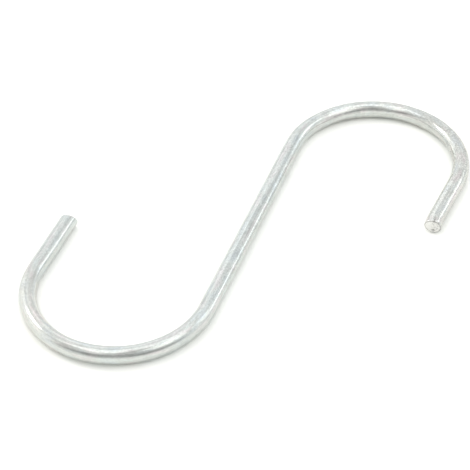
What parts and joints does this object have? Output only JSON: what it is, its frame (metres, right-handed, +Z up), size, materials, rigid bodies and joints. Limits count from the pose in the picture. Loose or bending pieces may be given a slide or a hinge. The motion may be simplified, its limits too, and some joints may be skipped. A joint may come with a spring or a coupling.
{
  "type": "s hook",
  "caption": "Open S-shaped hook bent from round plated wire, with a straight shank, two U bends and short straight tails.",
  "frame": {"origin": "under the middle of the straight shank, on the plane that the hook lies on", "axes": "+Y along the shank towards the upper hook, +Z up out of the plane of the S; the upper hook opens towards -Y with its tail at +X, the lower hook opens towards +Y with its tail at -X"},
  "size_m": [0.084, 0.103, 0.004],
  "materials": {
    "zinc_plated_wire": "bright zinc plate on drawn steel wire, faint draw lines, scuffed and mottled at the bends"
  },
  "bodies": {
    "root": {"s_hook": "zinc_plated_wire"}
  },
  "joints": []
}
